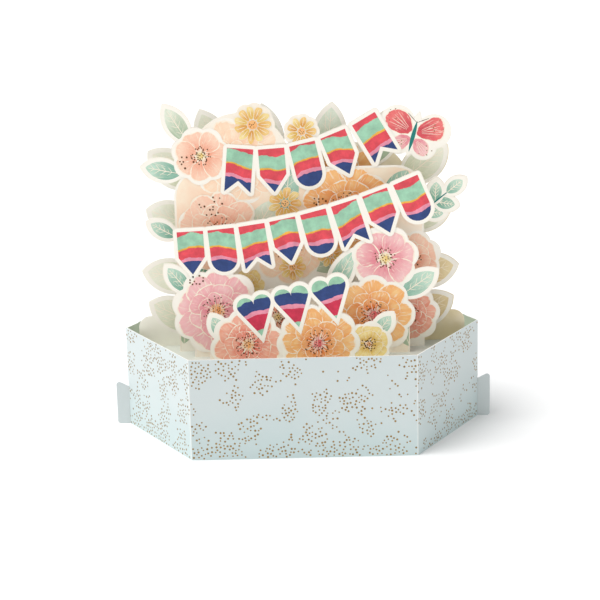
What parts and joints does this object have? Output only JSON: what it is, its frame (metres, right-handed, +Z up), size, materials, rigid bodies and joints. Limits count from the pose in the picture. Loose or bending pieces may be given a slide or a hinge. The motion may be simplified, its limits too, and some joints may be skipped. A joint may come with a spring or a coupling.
{
  "type": "pop up card",
  "caption": "Standing pop up greeting card: open hexagonal paper box with a shelf, locking side tabs and layered die-cut sheets of flowers, hearts and bunting.",
  "frame": {"origin": "middle of the hexagon, on the surface that the card stands on", "axes": "+X along the front panel from tab to tab, +Y away from the reader, +Z up"},
  "size_m": [0.1936, 0.1148, 0.1715],
  "materials": {
    "sleeve_card": "pale blue smooth card with small gold dots",
    "shelf_card": "uncoated pale card",
    "rib_card": "uncoated light grey card",
    "front_art": "cream card with watercolour fields of orange, coral and mint",
    "second_art": "cream card with watercolour fields of coral, pink, mint and navy",
    "third_art": "cream card with watercolour fields of peach, mint and coral",
    "back_art": "pale sage and cream card",
    "spacer_card": "plain white paper"
  },
  "bodies": {
    "root": {"sleeve_front": "sleeve_card", "sleeve_back": "sleeve_card", "shelf": "shelf_card", "centre_rib": "rib_card", "sheet_front": "front_art", "sheet_second": "second_art", "sheet_third": "third_art", "sheet_back": "back_art", "spacer_1_left": "spacer_card", "spacer_1_right": "spacer_card", "spacer_2_left": "spacer_card", "spacer_2_right": "spacer_card", "spacer_3_left": "spacer_card", "spacer_3_right": "spacer_card"}
  },
  "joints": []
}
